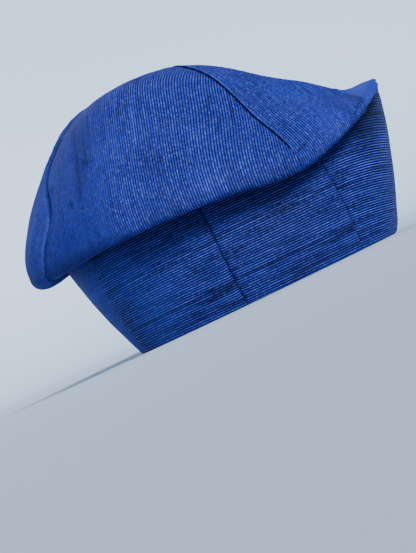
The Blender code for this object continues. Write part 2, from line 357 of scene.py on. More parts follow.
def softDents(points, seed):
    # The sum of the swells at these points.
    total = 0
    for height, *waves in swells:
        one, other = (np.sin(points @ np.array(wave[:3]) + wave[3] * seed) for wave in waves)
        total = total + height * one * other
    return total


def addPiece(name, mesh, material):
    # A smooth-shaded piece that rides on the one body.
    mesh.polygons.foreach_set("use_smooth", np.ones(len(mesh.polygons), bool))
    mesh.materials.append(material)
    piece = bpy.data.objects.new(name, mesh)
    bpy.context.scene.collection.objects.link(piece)
    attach(piece, "root")
    return piece


def addCloth(node, outer, inner, flat, marks, coarse, material):
    # A closed cloth wall in a node's place, between a fine outer grid and an inner grid that keeps
    # every coarse-th row and column. Grids are row by column and face out where row x column turns
    # that way; each of the marks is a grid of values that the material reads by name.
    rowStep, columnStep = coarse
    rows, columns = outer.shape[:2]
    innerGrid = inner[::rowStep, ::columnStep]
    fine = np.arange(rows * columns).reshape(rows, columns)
    thin = rows * columns + np.arange(innerGrid[..., 0].size).reshape(innerGrid.shape[:2])
    faces = [
        np.stack([fine[:-1, :-1], fine[:-1, 1:], fine[1:, 1:], fine[1:, :-1]], -1).reshape(-1, 4),
        np.stack([thin[:-1, :-1], thin[1:, :-1], thin[1:, 1:], thin[:-1, 1:]], -1).reshape(-1, 4),
    ]
    borders = (
        (fine[0][::-1], thin[0][::-1], columnStep),
        (fine[-1], thin[-1], columnStep),
        (fine[:, 0], thin[:, 0], rowStep),
        (fine[::-1, -1], thin[::-1, -1], rowStep),
    )
    for fineLine, thinLine, step in borders:
        starts = np.arange(len(thinLine) - 1)
        ring = fineLine[starts[:, None] * step + np.arange(step + 1)]
        faces.append(np.concatenate([ring, thinLine[starts + 1][:, None], thinLine[starts][:, None]], 1))
    corners = np.concatenate([group.ravel() for group in faces])
    sizes = np.concatenate([np.full(len(group), group.shape[1]) for group in faces])
    points = np.concatenate([outer.reshape(-1, 3), innerGrid.reshape(-1, 3)])
    mesh = bpy.data.meshes.new(node + "_cloth")
    mesh.vertices.add(len(points))
    mesh.vertices.foreach_set("co", ((points + hat["origin"]) * mm).ravel())
    mesh.loops.add(len(corners))
    mesh.loops.foreach_set("vertex_index", corners)
    mesh.polygons.add(len(sizes))
    mesh.polygons.foreach_set("loop_start", np.concatenate([[0], np.cumsum(sizes)[:-1]]))
    mesh.update(calc_edges=True)
    laid = np.concatenate([flat.reshape(-1, 2), flat[::rowStep, ::columnStep].reshape(-1, 2)])
    uvLayer = mesh.uv_layers.new(name="clothMap")
    uvLayer.data.foreach_set("uv", (laid * cloth["uvPerMm"])[corners].ravel())
    for mark, grid in marks.items():
        values = np.concatenate([grid.ravel(), grid[::rowStep, ::columnStep].ravel()])
        mesh.attributes.new(mark, "FLOAT", "POINT").data.foreach_set("value", values)
    piece = addPiece(node + "_cloth", mesh, material)
    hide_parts(node)
    print(piece.name, "triangles", int((sizes - 2).sum()), "rows", rows, "columns", columns)
    return piece


# Crown gores: their seams in the order of the azimuth, the line that their cords run along, which is
# given as a seam is, samples per cord, rows and a seed.
frontLap, backLap, leftSeam = (57.0, 66.5, 0.0), (163.5, 150.0, 9.5), (242.0, 242.0, 0.0)
goreColumns = ("first", "second", "grain", "samples", "rows", "seed")
goreRows = {
    "crown_gore_right": (frontLap, backLap, (107.5, 107.5, 0.0), 6, 121, 0.3),
    "crown_gore_back": (backLap, leftSeam, (199.5, 196.0, 0.0), 5, 109, 1.7),
    "crown_gore_left": (leftSeam, (334.0, 334.0, 0.0), (288.0, 288.0, 0.0), 5, 91, 2.9),
    "crown_gore_front": ((-26.0, -26.0, 0.0), frontLap, frontLap, 6, 109, 4.1),
}
gores = {name: dict(zip(goreColumns, row)) for name, row in goreRows.items()}
seamGap = 0.25

# How a gore's grid is laid out: points along its seams and its edge, how far it stays inside them
# and from the apex, and how much its rows crowd at the fold.
goreMesh = {
    "firstRow": 0.4,
    "roofPoints": 300,
    "underPoints": 160,
    "edgePoints": 400,
    "inset": 0.15,
    "leastRun": 0.35,
    "trialRows": 260,
    "crowdAt": (topRows - 14, topRows - 2, foldRow + 1, lastRow),
    "crowding": (1, 3.6, 3.6, 1.6),
    "innerEvery": 3,
}


def seamCurves(gore):
    # A gore's two seams in the flat, from the apex to the band, moved inside it by half the gap.
    roof = np.linspace(goreMesh["firstRow"], topRows, goreMesh["roofPoints"])
    row = np.concatenate([roof, np.linspace(topRows, lastRow, goreMesh["underPoints"])[1:]])
    curves = []
    for seam, side in ((gore["first"], -1), (gore["second"], 1)):
        _, _, turn, run = flatten(row, seamAzimuth(seam, row), gore["grain"])
        turn = turn - side * seamGap / 2 / run
        curves.append({"x": run * np.sin(turn), "y": run * np.cos(turn), "turn": turn, "run": run})
    return curves


def goreGrid(gore):
    # Flat x and y of a grid whose columns follow the cords and whose rows crowd at the fold.
    first, second = seamCurves(gore)
    low, high = first["x"].min() + goreMesh["inset"], second["x"].max() - goreMesh["inset"]
    step = cloth["pitch"] / gore["samples"]
    number = np.arange(np.ceil(low / step), np.floor(high / step) + 1)
    x = np.concatenate([[low], number * step, [high]])
    spare = (-(len(x) - 1)) % gore["samples"]
    if spare:
        x = np.concatenate([np.linspace(low, x[1], spare + 2)[:-1], x[1:]])
    turnFirst, turnSecond = int(np.argmin(first["x"])), int(np.argmax(second["x"]))
    top = np.where(
        x < 0,
        np.interp(-x, -first["x"][: turnFirst + 1], first["y"][: turnFirst + 1]),
        np.interp(x, second["x"][: turnSecond + 1], second["y"][: turnSecond + 1]),
    )
    top = np.maximum(top, goreMesh["leastRun"])
    ends = (seamAzimuth(gore[side], lastRow) for side in ("first", "second"))
    edgeAzimuth = np.linspace(*ends, goreMesh["edgePoints"])
    edgeX, edgeY, _, _ = flatten(lastRow - 1e-3 + 0 * edgeAzimuth, edgeAzimuth, gore["grain"])
    aroundX = np.concatenate([first["x"][turnFirst:], edgeX[1:-1], second["x"][turnSecond:][::-1]])
    aroundY = np.concatenate([first["y"][turnFirst:], edgeY[1:-1], second["y"][turnSecond:][::-1]])
    bottom = np.interp(x, np.maximum.accumulate(aroundX), aroundY)
    tall = top + (bottom - top) * np.linspace(0, 1, goreMesh["trialRows"])[:, None]
    row, _ = unflatten(np.broadcast_to(x, tall.shape), tall, gore["grain"])
    heap = np.cumsum(np.interp(row, goreMesh["crowdAt"], goreMesh["crowding"]), axis=0)
    heap = (heap - heap[0]) / (heap[-1] - heap[0])
    even = np.linspace(0, 1, gore["rows"])
    y = np.stack([np.interp(even, heap[:, j], tall[:, j]) for j in range(len(x))], 1)
    return np.broadcast_to(x, y.shape), y


def seamDistance(x, y, curve, side):
    # How far inside the seam a flat point lies: its run times the sine of the turn between them.
    run, turn = np.hypot(x, y), np.arctan2(x, y)
    away = side * (np.interp(run, curve["run"], curve["turn"]) - turn)
    return run * np.sin(np.clip(away, 0, 1.5))


# Running stitches of sewing thread beside the front lap, at x on the flat front gore. arch and sunk
# are in radii of the thread, and tip is the square of its thinnest share.
stitches = {
    "pitch": 3.0,
    "length": 2.3,
    "radius": 0.26,
    "from": 12.0,
    "to": 170.0,
    "x": -2.85,
    "wobble": 0.12,
    "wobbleTurn": 2.1,
    "arch": 2.2,
    "sunk": 1.3,
    "tip": 0.04,
    "rings": 7,
    "around": 8,
}

# The two lapped seams: the gore in front lies over its neighbour, with a ridge as wide as its
# turned-in edge, a stitched groove beside it and a dip on the neighbour, down to where the seam
# ends; after that a soft valley. dark is painted shade along the seam's line, and afterDark
# painted shade in the valley after it.
lapColumns = (
    "gore", "side", "height", "width", "stitched", "dip",
    "ends", "after", "afterWidth", "dark", "darkWidth", "afterDark",
)
lapRows = (
    ("crown_gore_front", "second", 0.6, 1.9, 0.4, 0.0, 170.0, 0.2, 0.6, 0.3, 0.4, 0.0),
    ("crown_gore_right", "first", 0.0, 1.9, 0.0, 0.95, 168.0, 0.2, 0.6, 0.6, 0.7, 0.0),
    ("crown_gore_back", "first", 1.6, 4.4, 0.5, 0.0, 157.0, -0.9, 3.5, 0.5, 0.6, 0.0),
    ("crown_gore_right", "second", 0.0, 4.4, 0.0, 2.0, 157.0, 0.9, 4.0, 1.0, 1.5, 0.4),
)
laps = {row[:2]: dict(zip(lapColumns[2:], row[2:])) for row in lapRows}

# Every seam's finish: a plain one's groove and worn line, then how a lapped one ends, rises and
# falls, its row of stitches and the dimples in it with painted shade, its dip, and the painted
# highlight on a raised loose edge.
seamLook = {
    "groove": 0.9,
    "grooveWidth": 0.9,
    "wornAt": 1.2,
    "wornWidth": 0.7,
    "ending": 1.5,
    "rise": 0.4,
    "fall": 0.5,
    "stitchOut": 0.7,
    "stitchWidth": 0.6,
    "stitchDark": 0.5,
    "stitchDarkWidth": 0.5,
    "dimple": 0.35,
    "dipWidth": 1.5,
    "looseHighlight": 1.6,
    "looseAt": 1.5,
}


def seamFinish(lap, distance, run, onRoof):
    # What a seam adds to the shape, to the wear and painted light, and to the painted shade. A plain
    # one is a groove. A lapped one is sewn down until it ends above the fold; from there on the edges
    # only meet.
    if lap is None:
        wornAndLit = bell(distance, seamLook["wornAt"], seamLook["wornWidth"]) * onRoof
        return -seamLook["groove"] * bell(distance, 0, seamLook["grooveWidth"]), wornAndLit, 0
    sewn = 1 - ease(run, lap["ends"] - seamLook["ending"], lap["ends"] + seamLook["ending"])
    fall = ease(distance, lap["width"] + seamLook["fall"], lap["width"] - seamLook["fall"])
    dimples = 1 - seamLook["dimple"] * (1 - np.cos(run * 2 * np.pi / stitches["pitch"]))
    stitchAt = lap["width"] + seamLook["stitchOut"]
    sewnShape = lap["height"] * ease(distance, 0, seamLook["rise"]) * fall
    sewnShape = sewnShape - lap["stitched"] * bell(distance, stitchAt, seamLook["stitchWidth"]) * dimples
    sewnShape = sewnShape - lap["dip"] * bell(distance, 0, seamLook["dipWidth"])
    loose = (1 - sewn) * np.exp(-distance / lap["afterWidth"])
    wear = (lap["height"] > 0) * sewn * bell(distance, 0.5 * lap["width"], seamLook["wornWidth"])
    # A painted highlight on the raised loose edge.
    looseHighlight = bell(distance, seamLook["looseAt"], seamLook["looseAt"]) * (1 - sewn) * onRoof
    wear = wear + (lap["after"] < 0) * seamLook["looseHighlight"] * looseHighlight
    # Painted shade along the sewn line, in the valley after it, and in the stitches' dimples.
    shade = lap["dark"] * sewn * bell(distance, 0, lap["darkWidth"]) + lap["afterDark"] * loose * onRoof
    stitchShade = seamLook["stitchDark"] * bell(distance, stitchAt, seamLook["stitchDarkWidth"])
    shade = shade + (lap["stitched"] > 0) * sewn * stitchShade * dimples
    return sewn * sewnShape - lap["after"] * loose, wear, shade


# Creases pressed in the crown's cloth, as lines on the flat gore from x0, y0 to x1, y1: depth and
# width are in millimetres, and a depth under 0 is a raised fold.
creaseColumns = ("x0", "y0", "x1", "y1", "depth", "width")
creaseRows = {
    "crown_gore_right": (
        (52.0, 74.0, 48.4, 112.0, 0.35, 1.7),
        (48.4, 112.0, 48.6, 150.0, 0.25, 1.7),
        (43.6, 70.0, 41.8, 100.0, 0.25, 1.5),
        (47.6, 72.0, 45.2, 104.0, 0.2, 1.2),
        (41.8, 100.0, 40.0, 124.0, 0.3, 1.6),
        (37.6, 78.0, 36.4, 118.0, 0.2, 1.3),
        (43.6, 117.4, 35.0, 121.2, 0.6, 1.1),
        (57.4, 145.0, 56.2, 150.0, 0.5, 1.4),
        (49.4, 155.6, 46.6, 156.2, 0.4, 0.6),
        (49.4, 164.0, 46.6, 164.6, 0.4, 0.6),
        (0.0, 174.4, -9.0, 178.0, 0.25, 0.9),
        (75.5, 118.0, 76.5, 166.0, 0.9, 3.2),
    ),
    "crown_gore_front": (
        (-4.6, 112.4, -15.0, 107.6, 0.5, 1.0),
        (-15.0, 107.6, -23.0, 101.5, 0.3, 1.3),
        (-2.0, 173.0, -10.0, 170.6, 1.1, 0.9),
        (-10.0, 170.6, -15.0, 168.4, 0.5, 1.1),
        (-3.0, 176.6, -12.0, 175.0, -0.5, 1.8),
    ),
    "crown_gore_back": (
        (-94.0, 121.0, -101.0, 121.6, 1.2, 0.8),
        (-97.0, 127.0, -104.0, 150.0, -0.5, 3.2),
    ),
}
creaseLook = {"shoulder": 0.15, "shoulderAt": 2.2, "darkest": 0.8, "widestDark": 2.5}


def creases(name, x, y):
    # The sum of each crease's bell across its line, with a low shoulder on either side; and the
    # painted shade in the crease where the cloth is pressed in, by the deepest narrow crease's bell.
    lift, dark = 0 * x, 0 * x
    for row in creaseRows.get(name, ()):
        line = dict(zip(creaseColumns, row))
        alongX, alongY = line["x1"] - line["x0"], line["y1"] - line["y0"]
        share = ((x - line["x0"]) * alongX + (y - line["y0"]) * alongY) / (alongX**2 + alongY**2)
        share = np.clip(share, 0, 1)
        away = np.hypot(x - line["x0"] - share * alongX, y - line["y0"] - share * alongY) / line["width"]
        shoulder = creaseLook["shoulder"] * bell(away, creaseLook["shoulderAt"], 1)
        lift = lift - line["depth"] * (bell(away, 0, 1) - shoulder)
        if line["width"] < creaseLook["widestDark"]:
            dark = np.maximum(dark, min(line["depth"], creaseLook["darkest"]) * bell(away, 0, 1))
    return lift, dark


# Where a gore is pressed flat (crisp), given painted shade or made paler in a short streak: the
# amount, then its factors over the flat cloth, each an ease from one place to another or a bell
# at a place.
patchRows = {
    "crown_gore_right": (
        ("crisp", -0.7, ((ease, "x", 8, 48),)),
        ("shade", 0.45, ((ease, "x", 12, 50),)),
        ("shade", 0.22, ((bell, "x", 45, 7), (bell, "y", 118, 24))),
        ("wear", 1.6, ((bell, "x", 2.6, 0.7), (ease, "y", 84, 92), (ease, "y", 130, 120))),
    ),
    "crown_gore_back": (
        ("crisp", -0.7, ((ease, "x", -20, -80),)),
        ("shade", 0.25, ((ease, "x", -20, -70),)),
    ),
    "crown_gore_front": (("crisp", -0.25, ((bell, "x", -34, 16), (ease, "run", 70, 110))),),
}

# The front gore's crest: from there to the front tip the crown tips away, pressed smooth, with a
# painted highlight and a little painted shade over it.
crest = {
    "gore": "crown_gore_front",
    "x": -82.0,
    "bendsFrom": 124.0,
    "bend": -0.34,
    "startsAt": 104.0,
    "fullAt": 114.0,
    "height": 0.9,
    "ridge": (-1.5, 2.0),
    "hollow": (1.6, 1.6),
    "flatWithin": 1,
    "flat": 0.9,
    "litWithin": 2,
    "wornAndLit": 1.2,
    "dark": 0.06,
}

# The crown's cloth: where the slack starts and is full, what is left of it on the fold, the painted
# shade along the fold, the pucker beside the seams, how deep the cords sit and how flat they can be.
crownSkin = {
    "roofEnds": (topRows + 4, topRows - 6),
    "slackFrom": 5,
    "slackFull": 30,
    "foldSlack": 0.25,
    "foldShade": 0.3,
    "foldShadeAt": 1,
    "foldShadeWidth": 4,
    "pucker": 0.16,
    "puckerLength": 1.7,
    "puckerDrift": 0.8,
    "driftLength": 9,
    "puckerReach": 4,
    "sunk": 0.25,
    "flattest": 0.4,
    "innerShare": 0.7,
}


def goreSkin(name, x, y):
    # The cloth's two faces over flat points: the middle surface moved along its normal by the cords,
    # the seams' ridges and grooves, the creases and the slack; then the marks for the material.
    gore, skin = gores[name], crownSkin
    row, azimuth = unflatten(x, y, gore["grain"])
    found = lookUp(crownTable, row, azimuth)
    middle, normal = found[..., :3], found[..., 3:]
    normal = normal / np.linalg.norm(normal, axis=-1, keepdims=True)
    flat = {"x": x, "y": y, "run": np.hypot(x, y)}
    run = flat["run"]
    onRoof = ease(row, *skin["roofEnds"])
    shape, shade = creases(name, x, y)
    marks = {"wear": 0 * x, "crisp": 1 + 0 * x, "shade": shade}
    toFold = run - runsAt(azimuth)[1]
    # Painted shade along the fold's lip.
    marks["shade"] = shade + skin["foldShade"] * bell(toFold, skin["foldShadeAt"], skin["foldShadeWidth"])
    slack = ease(run, skin["slackFrom"], skin["slackFull"]) * (1 - (1 - skin["foldSlack"]) * (1 - onRoof))
    shape = shape + softDents(middle, gore["seed"]) * slack
    first, second = seamCurves(gore)
    toSeam = {"first": seamDistance(x, y, first, -1), "second": seamDistance(x, y, second, 1)}
    for side, distance in toSeam.items():
        seamShape, seamWearAndLight, seamShade = seamFinish(laps.get((name, side)), distance, run, onRoof)
        shape = shape + seamShape
        marks["wear"] = marks["wear"] + seamWearAndLight
        marks["shade"] = marks["shade"] + seamShade
    nearest = np.minimum(*toSeam.values())
    drift = gore["seed"] + skin["puckerDrift"] * np.sin(run / skin["driftLength"])
    pucker = np.sin(run / skin["puckerLength"] + drift) * np.exp(-nearest / skin["puckerReach"])
    shape = shape + skin["pucker"] * pucker * onRoof
    for mark, amount, factors in patchRows.get(name, ()):
        for rule, along, one, other in factors:
            amount = amount * rule(flat[along], one, other)
        marks[mark] = marks[mark] + amount
    if name == crest["gore"]:
        past = crest["x"] - crest["bend"] * np.maximum(y - crest["bendsFrom"], 0) - x
        there = ease(y, crest["startsAt"], crest["fullAt"])
        # A painted highlight where the crest tips away, and a little painted shade.
        litAndRubbed = ease(past, 0, crest["litWithin"]) * there
        marks["crisp"] = marks["crisp"] * (1 - crest["flat"] * ease(past, 0, crest["flatWithin"]) * there)
        marks["wear"] = marks["wear"] + crest["wornAndLit"] * litAndRubbed
        marks["shade"] = marks["shade"] + crest["dark"] * litAndRubbed
        shape = shape + crest["height"] * there * (bell(past, *crest["ridge"]) - bell(past, *crest["hollow"]))
    marks["shade"] = np.clip(marks["shade"], 0, 1)
    half = hat["crownWall"] / 2
    flatness = skin["flattest"] + (1 - skin["flattest"]) * marks["crisp"]
    cords = cordHeight(x, y, nearest, gore["seed"]) * flatness
    outer = middle + (half - skin["sunk"] + cords + shape)[..., None] * normal
    inner = middle + (-half + skin["innerShare"] * shape)[..., None] * normal
    return outer, inner, normal, marks


def linear(code):
    # An sRGB hex colour as Blender's linear numbers.
    parts = np.array([int(code[i : i + 2], 16) for i in (1, 3, 5)]) / 255
    parts = np.where(parts <= 0.04045, parts / 12.92, ((parts + 0.055) / 1.055) ** 2.4)
    return (*parts.tolist(), 1.0)


def nodeAdder(tree):
    # A function that adds a node with its settings, and its inputs as values or links, in order or
    # by name, and gives the chosen output.
    def add(kind, inputs=(), out=0, **settings):
        node = tree.nodes.new("ShaderNode" + kind)
        for key, value in settings.items():
            setattr(node, key, value)
        for key, value in inputs.items() if isinstance(inputs, dict) else enumerate(inputs):
            if isinstance(value, bpy.types.NodeSocket):
                tree.links.new(value, node.inputs[key])
            else:
                node.inputs[key].default_value = value
        return node.outputs[out] if node.outputs else node

    return add


# How far each pattern jumps from one cord to the next, so that neighbours don't match.
cordJump = {"streak": 3.7, "dash": 5.3, "wide": 0.37, "thread": 2.4}


def ribbedCotton(name, look):
    # Hand-loomed ribbed cotton (aso-oke cloth): thick weft cords wrapped by fine warp threads, matt
    # with a faint bloom of fibre, each cord a little lighter or darker than the next.
    material = bpy.data.materials.new(name)
    material.use_nodes = True
    tree = material.node_tree
    tree.nodes.clear()
    add = nodeAdder(tree)
    crisp, wornAndLit, shade = (
        add("Attribute", out="Fac", attribute_name=mark) for mark in ("crisp", "wear", "shade")
    )
    place = add("TexCoord", out="Object")
    uv = add("UVMap", uv_map="clothMap")
    perMm = 1 / cloth["uvPerMm"]
    across = add("Math", [add("SeparateXYZ", [uv], out="X"), perMm / cloth["pitch"]], operation="MULTIPLY")
    along = add("Math", [add("SeparateXYZ", [uv], out="Y"), perMm], operation="MULTIPLY")
    number = add("Math", [across], operation="FLOOR")
    inCord = add("Math", [across], operation="FRACT")

    # Patterns laid along the cords, each a noise over a place across and one along, with its detail
    # and roughness: the slow change of each cord; pale and dark dashes, where the warp threads lie
    # thick or thin on it; the threads themselves, specks under a millimetre long; and a felted grain
    # a little longer than wide.
    laid = {
        "streak": (number, cordJump["streak"], look["streakLength"], 2.0, 0.6),
        "dash": (number, cordJump["dash"], look["dashLength"], 2.0, 0.7),
        "speck": (across, look["specksPerCord"], look["speckLength"], 1.0, 0.5),
        "grain": (across, cloth["pitch"] / look["grainWidth"], look["grainLength"], 3.0, 0.65),
    }
    noise = {}
    for pattern, (start, spread, length, detail, roughness) in laid.items():
        x = add("Math", [start, spread], operation="MULTIPLY")
        y = add("Math", [along, length], operation="DIVIDE")
        spot = add("CombineXYZ", [x, y, look["seed"]])
        settings = {"Vector": spot, "Scale": 1.0, "Detail": detail, "Roughness": roughness}
        noise[pattern] = add("TexNoise", settings)
    # Broad, uneven dye.
    noise["dye"] = add("TexNoise", {"Vector": place, "Scale": look["dyeScale"], "Detail": 3.0})

    # The valley between cords, painted dark as shade. Here and there it is wider for a hand's breadth.
    edge = add("Math", [inCord, 2.0, -1.0], operation="MULTIPLY_ADD")
    edge = add("Math", [edge], operation="ABSOLUTE")
    stretch = add("Math", [along, look["wideLength"]], operation="DIVIDE")
    stretch = add("Math", [number, cordJump["wide"], stretch], operation="MULTIPLY_ADD")
    stretch = add("Math", [stretch], operation="FLOOR")
    spot = add("CombineXYZ", [number, stretch, look["seed"]])
    chance = add("TexWhiteNoise", {"Vector": spot}, out="Value", noise_dimensions="3D")
    wide = add("Math", [chance, look["wideShare"]], operation="LESS_THAN")
    edge = add("Math", [wide, look["wideBy"], edge], operation="MULTIPLY_ADD")
    valley = add("MapRange", [edge, look["valleyFrom"], look["valleyTo"]], interpolation_type="SMOOTHSTEP")

    # The tone from dark to light: each pattern times its depth, less where the rib is pressed flat.
    varied = ("streak", "dye", "speck", "dash")
    tone = -0.5 * sum(look[pattern + "Depth"] for pattern in varied)
    for pattern in varied:
        tone = add("Math", [noise[pattern], look[pattern + "Depth"], tone], operation="MULTIPLY_ADD")
    contrast = add("Math", [crisp, 1 - look["flatTone"], look["flatTone"]], operation="MULTIPLY_ADD")
    tone = add("Math", [tone, contrast, 0.5], operation="MULTIPLY_ADD")
    # Where the rib is pressed flat, and neither rubbed smooth nor painted light, the cloth is felted.
    pressed = add("Math", [1.0, crisp], operation="SUBTRACT")
    unwornUnlit = add("Math", [1.0, wornAndLit], operation="SUBTRACT", use_clamp=True)
    felted = add("Math", [pressed, unwornUnlit], operation="MULTIPLY")
    grain = add("Math", [noise["grain"], 0.5], operation="SUBTRACT")
    grainDepth = add("Math", [felted, look["grainDepth"], look["grainLeast"]], operation="MULTIPLY_ADD")
    tone = add("Math", [grain, grainDepth, tone], operation="MULTIPLY_ADD")

    # Over the dye lie the valleys' painted shade, painted glints of pale warp threads along the tops
    # of the cords, the wear with painted light, and the painted shade. A Mix node's colours are its
    # inputs 6 and 7 and its output 2.
    depth, flatDepth = look["valleyDepth"], look["valleyDepth"] * look["flatValley"]
    depth = add("Math", [crisp, depth - flatDepth, flatDepth], operation="MULTIPLY_ADD")
    valley = add("Math", [valley, depth], operation="MULTIPLY")
    glint = add("MapRange", [noise["dash"], look["glintFrom"], look["glintTo"], 0.0, look["glintDepth"]])
    onTop = add("Math", [1.0, valley], operation="SUBTRACT")
    onTop = add("Math", [crisp, onTop], operation="MULTIPLY")
    glint = add("Math", [glint, onTop], operation="MULTIPLY")
    litAndRubbed = add("Math", [wornAndLit, look["wearAndPaintedLightDepth"]], operation="MULTIPLY")
    shaded = add("Math", [shade, look["shadeDepth"]], operation="MULTIPLY")
    colour = linear(look["dark"])
    layers = (tone, "light"), (valley, "valley"), (glint, "glint"), (litAndRubbed, "wornAndLit"), (shaded, "valley")
    for factor, top in layers:
        colour = add("Mix", {0: factor, 6: colour, 7: linear(look[top])}, out=2, data_type="RGBA")

    # Relief of the warp threads over the cords and of loose fibre, with puckers where it is felted.
    threads = add("Math", [number, cordJump["thread"]], operation="MULTIPLY")
    threads = add("Math", [along, 2 * np.pi / look["threadPitch"], threads], operation="MULTIPLY_ADD")
    threads = add("Math", [threads], operation="SINE")
    relief = add("Math", [threads, look["threadDepth"], noise["speck"]], operation="MULTIPLY_ADD")
    pucker = add("TexNoise", {"Vector": place, "Scale": 1000 / look["puckerSize"], "Detail": 2.0})
    puckerDepth = add("Math", [felted, look["puckerDepth"]], operation="MULTIPLY")
    relief = add("Math", [pucker, puckerDepth, relief], operation="MULTIPLY_ADD")
    bump = {"Height": relief, "Strength": look["bumpStrength"], "Distance": look["bumpDepth"] * mm}
    surface = {
        "Base Color": colour,
        "Roughness": look["roughness"],
        "Specular IOR Level": look["specular"],
        "Sheen Weight": look["sheen"],
        "Sheen Roughness": look["sheenRoughness"],
        "Sheen Tint": linear(look["sheenColour"]),
        "Normal": add("Bump", bump),
    }
    add("OutputMaterial", {"Surface": add("BsdfPrincipled", surface)})
    material.diffuse_color = linear(look["light"])
    print("material", name, "nodes", len(tree.nodes))
    return material


# The cloth's looks: lengths and sizes are in millimetres, depths are shares of the tone or of a
# colour laid over it, and the valley's edges are shares of half a cord.
crownLook = {
    "dark": "#0a1253",
    "light": "#283cb2",
    # valley is the painted shade's colour, between the cords and under the painted shade marks.
    "valley": "#01020c",
    "valleyDepth": 0.88,
    "valleyFrom": 0.3,
    "valleyTo": 0.8,
    "flatTone": 0.4,
    "flatValley": 0.15,
    # The colour of wear and of painted light.
    "wornAndLit": "#4a70fa",
    "wearAndPaintedLightDepth": 0.08,
    "shadeDepth": 0.8,
    "wideShare": 0.05,
    "wideBy": 0.2,
    "wideLength": 60.0,
    "streakLength": 26.0,
    "streakDepth": 0.9,
    "dashLength": 2.2,
    "dashDepth": 0.9,
    "dyeScale": 28.0,
    "dyeDepth": 0.6,
    "speckDepth": 0.55,
    "specksPerCord": 1.6,
    "speckLength": 0.75,
    # A painted highlight along the tops of the cords.
    "glint": "#b4c6ff",
    "glintFrom": 0.5,
    "glintTo": 0.8,
    "glintDepth": 0.1,
    "grainWidth": 1.6,
    "grainLength": 2.6,
    "grainDepth": 1.5,
    "grainLeast": 0.3,
    "threadPitch": 0.62,
    "threadDepth": 0.25,
    "bumpStrength": 0.6,
    "bumpDepth": 0.12,
    "puckerSize": 2.6,
    "puckerDepth": 6.0,
    "roughness": 0.6,
    "specular": 0.09,
    "sheen": 0.03,
    "sheenRoughness": 0.45,
    "sheenColour": "#9db6ff",
    "seed": 1.3,
}
bandLook = dict(
    crownLook,
    dark="#0a1450",
    light="#3a4ecc",
    # valley is the painted shade's colour.
    valley="#010106",
    valleyDepth=0.98,
    valleyFrom=0.16,
    valleyTo=0.66,
    shadeDepth=0.7,
    wideShare=0.1,
    streakDepth=1.7,
    dashDepth=0.8,
    grainDepth=0.7,
    specular=0.07,
    sheen=0.02,
    seed=5.1,
)
crownCloth = ribbedCotton("ribbedCottonCrown", crownLook)
bandCloth = ribbedCotton("ribbedCottonBand", bandLook)

for name, gore in gores.items():
    x, y = goreGrid(gore)
    outer, inner, _, marks = goreSkin(name, x, y)
    coarse = (goreMesh["innerEvery"], gore["samples"])
    piece = addCloth(name, outer, inner, np.stack([x, y], -1), marks, coarse, crownCloth)
    size = (float(np.ptp(x)) * mm, float(np.ptp(y)) * mm)
    area = float(np.abs(np.diff(x, axis=1)[:-1] * np.diff(y, axis=0)[:, :-1]).sum()) * mm * mm
    print(name, "flat", [round(v, 3) for v in size], "area", round(area, 4))


def addStitches(name, outer, normal, material):
    # Thread over points of the cloth, one row per stitch: rings round an arch that dips into the
    # cloth at both ends, joined into one closed mesh each.
    count, rings = outer.shape[:2]
    along = np.gradient(outer, axis=1)
    along /= np.linalg.norm(along, axis=-1, keepdims=True)
    side = np.cross(normal, along)
    arch = np.sin(np.pi * np.linspace(0, 1, rings))
    thick = stitches["radius"] * np.sqrt(np.maximum(arch, stitches["tip"]))
    turn = np.arange(stitches["around"]) * 2 * np.pi / stitches["around"]
    centre = outer + (stitches["radius"] * (stitches["arch"] * arch - stitches["sunk"]))[:, None] * normal
    ring = np.cos(turn)[:, None] * side[:, :, None] + np.sin(turn)[:, None] * normal[:, :, None]
    points = centre[:, :, None] + thick[:, None, None] * ring
    index = np.arange(points[..., 0].size).reshape(points.shape[:3])
    beside = np.roll(index, -1, axis=2)
    quads = np.stack([index[:, :-1], index[:, 1:], beside[:, 1:], beside[:, :-1]], -1).reshape(-1, 4)
    caps = np.concatenate([index[:, 0], index[:, -1, ::-1]])
    places = (points.reshape(-1, 3) + hat["origin"]) * mm
    mesh = bpy.data.meshes.new(name)
    mesh.from_pydata(places.tolist(), [], quads.tolist() + caps.tolist())
    addPiece(name, mesh, material)
    print(name, "stitches", count)


threadLook = {"dark": "#0c1a5e", "light": "#4059c8", "plyLength": 0.4, "roughness": 0.5, "specular": 0.3}


def cottonThread():
    # Mercerised cotton sewing thread: two plies of cotton with a slight gloss, a step lighter than
    # the cloth.
    material = bpy.data.materials.new("sewingThread")
    material.use_nodes = True
    tree = material.node_tree
    add = nodeAdder(tree)
    place = add("TexCoord", out="Object")
    ply = add("TexNoise", {"Vector": place, "Scale": 1000 / threadLook["plyLength"], "Detail": 1.0})
    plies = {0: ply, 6: linear(threadLook["dark"]), 7: linear(threadLook["light"])}
    shader = tree.nodes["Principled BSDF"]
    tree.links.new(add("Mix", plies, out=2, data_type="RGBA"), shader.inputs["Base Color"])
    shader.inputs["Roughness"].default_value = threadLook["roughness"]
    shader.inputs["Specular IOR Level"].default_value = threadLook["specular"]
    return material


def sewFrontLap():
    # A straight run of stitches, each a little to one side by a sine, laid over the front gore.
    starts = np.arange(stitches["from"], stitches["to"], stitches["pitch"])[:, None]
    y = starts + stitches["length"] * np.linspace(0, 1, stitches["rings"])
    x = stitches["x"] + stitches["wobble"] * np.sin(starts * stitches["wobbleTurn"]) + 0 * y
    outer, _, normal, _ = goreSkin("crown_gore_front", x, y)
    addStitches("crown_front_stitching", outer, normal, cottonThread())


sewFrontLap()

